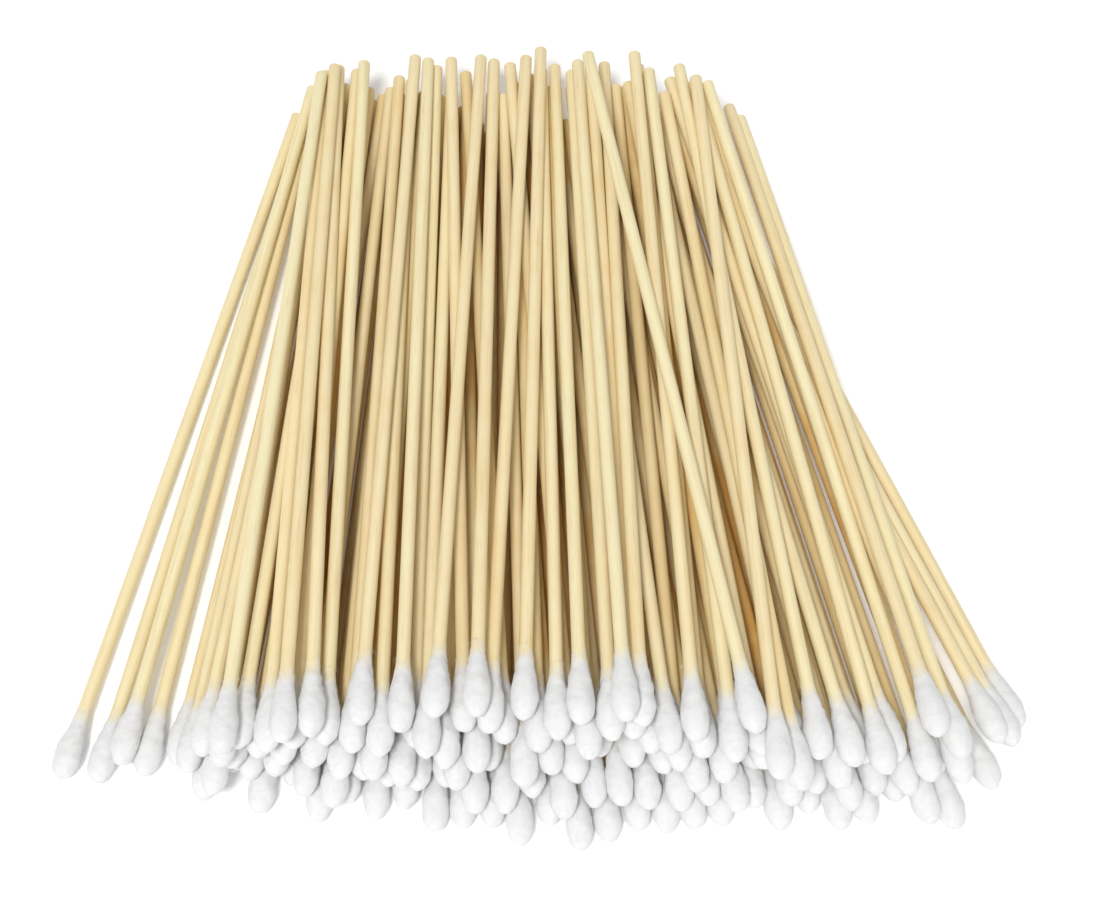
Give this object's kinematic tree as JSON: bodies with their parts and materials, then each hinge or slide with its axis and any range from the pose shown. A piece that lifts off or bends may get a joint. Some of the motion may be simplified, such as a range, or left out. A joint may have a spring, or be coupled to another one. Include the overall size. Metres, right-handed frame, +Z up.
{
  "type": "fanned pile of cotton swabs",
  "caption": "Fanned pile of long single-ended cotton swabs with plain wooden sticks, lying flat with the cotton ends to the front.",
  "frame": {"origin": "on the surface the pile lies on, under the middle of the pile's box", "axes": "+Z up from that surface; the cotton tips point to -Y and the bare stick ends to +Y; +X to the right seen from the cotton tips"},
  "size_m": [0.1774, 0.1696, 0.0302],
  "materials": {
    "stick_wood": "bare planed wood, matt with a faint lengthwise grain",
    "wound_cotton": "soft matt wound cotton"
  },
  "bodies": {
    "root": {"bottom_far_left_sticks": "stick_wood", "bottom_far_left_cotton_tips": "wound_cotton", "bottom_left_sticks": "stick_wood", "bottom_left_cotton_tips": "wound_cotton", "bottom_centre_left_sticks": "stick_wood", "bottom_centre_left_cotton_tips": "wound_cotton", "bottom_centre_right_sticks": "stick_wood", "bottom_centre_right_cotton_tips": "wound_cotton", "bottom_right_sticks": "stick_wood", "bottom_right_cotton_tips": "wound_cotton", "bottom_far_right_sticks": "stick_wood", "bottom_far_right_cotton_tips": "wound_cotton", "lower_far_left_sticks": "stick_wood", "lower_far_left_cotton_tips": "wound_cotton", "lower_left_sticks": "stick_wood", "lower_left_cotton_tips": "wound_cotton", "lower_centre_left_sticks": "stick_wood", "lower_centre_left_cotton_tips": "wound_cotton", "lower_centre_right_sticks": "stick_wood", "lower_centre_right_cotton_tips": "wound_cotton", "lower_right_sticks": "stick_wood", "lower_right_cotton_tips": "wound_cotton", "lower_far_right_sticks": "stick_wood", "lower_far_right_cotton_tips": "wound_cotton", "middle_far_left_sticks": "stick_wood", "middle_far_left_cotton_tips": "wound_cotton", "middle_left_sticks": "stick_wood", "middle_left_cotton_tips": "wound_cotton", "middle_centre_left_sticks": "stick_wood", "middle_centre_left_cotton_tips": "wound_cotton", "middle_centre_right_sticks": "stick_wood", "middle_centre_right_cotton_tips": "wound_cotton", "middle_right_sticks": "stick_wood", "middle_right_cotton_tips": "wound_cotton", "middle_far_right_sticks": "stick_wood", "middle_far_right_cotton_tips": "wound_cotton", "upper_far_left_sticks": "stick_wood", "upper_far_left_cotton_tips": "wound_cotton", "upper_left_sticks": "stick_wood", "upper_left_cotton_tips": "wound_cotton", "upper_centre_left_sticks": "stick_wood", "upper_centre_left_cotton_tips": "wound_cotton", "upper_centre_right_sticks": "stick_wood", "upper_centre_right_cotton_tips": "wound_cotton", "upper_right_sticks": "stick_wood", "upper_right_cotton_tips": "wound_cotton", "upper_far_right_sticks": "stick_wood", "upper_far_right_cotton_tips": "wound_cotton", "top_far_left_sticks": "stick_wood", "top_far_left_cotton_tips": "wound_cotton", "top_left_sticks": "stick_wood", "top_left_cotton_tips": "wound_cotton", "top_centre_left_sticks": "stick_wood", "top_centre_left_cotton_tips": "wound_cotton", "top_centre_right_sticks": "stick_wood", "top_centre_right_cotton_tips": "wound_cotton", "top_right_sticks": "stick_wood", "top_right_cotton_tips": "wound_cotton", "top_far_right_sticks": "stick_wood", "top_far_right_cotton_tips": "wound_cotton"}
  },
  "joints": []
}
